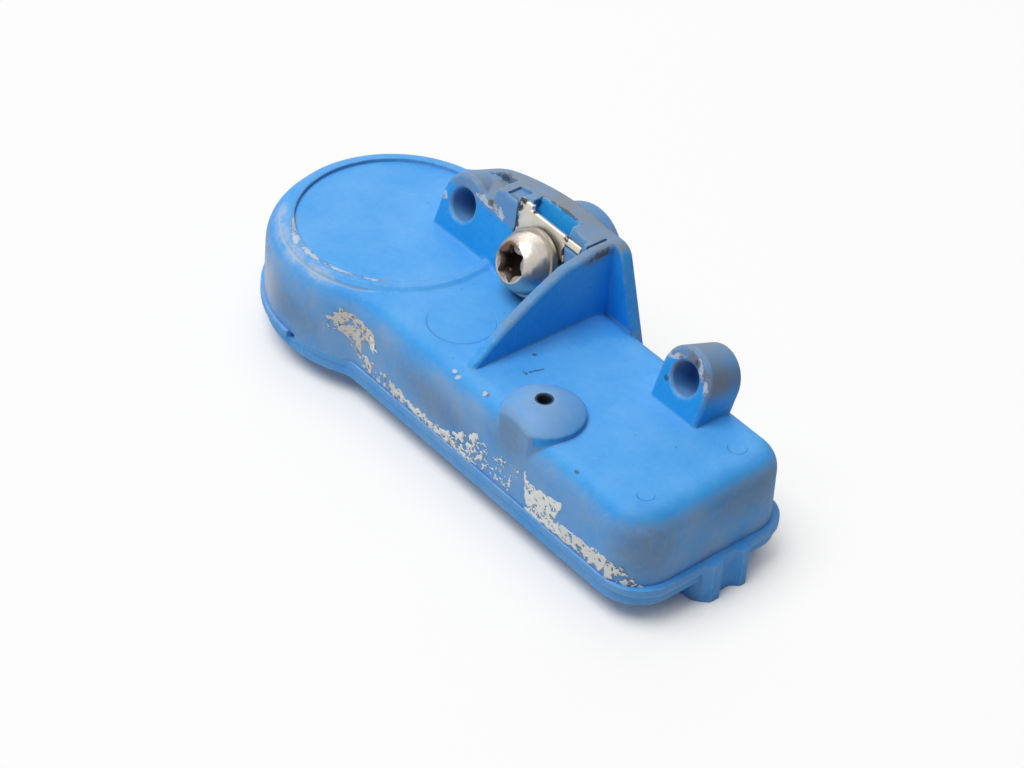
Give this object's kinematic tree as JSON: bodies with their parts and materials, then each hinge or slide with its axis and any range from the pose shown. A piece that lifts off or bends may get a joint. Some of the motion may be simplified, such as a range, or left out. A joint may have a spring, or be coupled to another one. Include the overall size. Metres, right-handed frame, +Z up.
{
  "type": "tyre pressure sensor",
  "caption": "Flat moulded tyre pressure sensor with a round battery end, a domed pressure port, eye lugs and a tilted bracket with clip and screw for the valve stem.",
  "frame": {"origin": "under the middle of the box, on the surface that the sensor stands on", "axes": "+X along the body from the round battery end to the flat end, +Y to the valve side, +Z up"},
  "size_m": [0.0656, 0.0278, 0.0208],
  "materials": {
    "housing_plastic": "moulded, satin",
    "cover_plastic": "moulded, satin",
    "screw_steel": "nickel plated, worn",
    "clip_steel": "stamped, dirty",
    "board_laminate": "solder mask",
    "cell_steel": "bright",
    "tab_nickel": "plain",
    "chip_resin": "moulded",
    "lid_metal": "plain",
    "seal_rubber": "matt",
    "crystal_can": "plain",
    "ferrite": "matt",
    "copper_wire": "enamelled",
    "antenna_metal": "plain",
    "capacitor_ceramic": "matt",
    "resistor_ceramic": "matt",
    "inductor_ferrite": "matt"
  },
  "bodies": {
    "root": {"housing": "housing_plastic", "base_cover": "cover_plastic", "retaining_screw": "screw_steel", "valve_clip": "clip_steel", "circuit_board": "board_laminate", "coin_cell": "cell_steel", "cell_top_tab": "tab_nickel", "cell_bottom_tab": "tab_nickel", "pressure_chip": "chip_resin", "pressure_chip_lid": "lid_metal", "port_seal": "seal_rubber", "controller_chip": "chip_resin", "transmitter_chip": "chip_resin", "crystal": "crystal_can", "coil_core": "ferrite", "coil_winding": "copper_wire", "antenna_strip": "antenna_metal", "chip_capacitors": "capacitor_ceramic", "chip_resistors": "resistor_ceramic", "chip_inductors": "inductor_ferrite"}
  },
  "joints": []
}
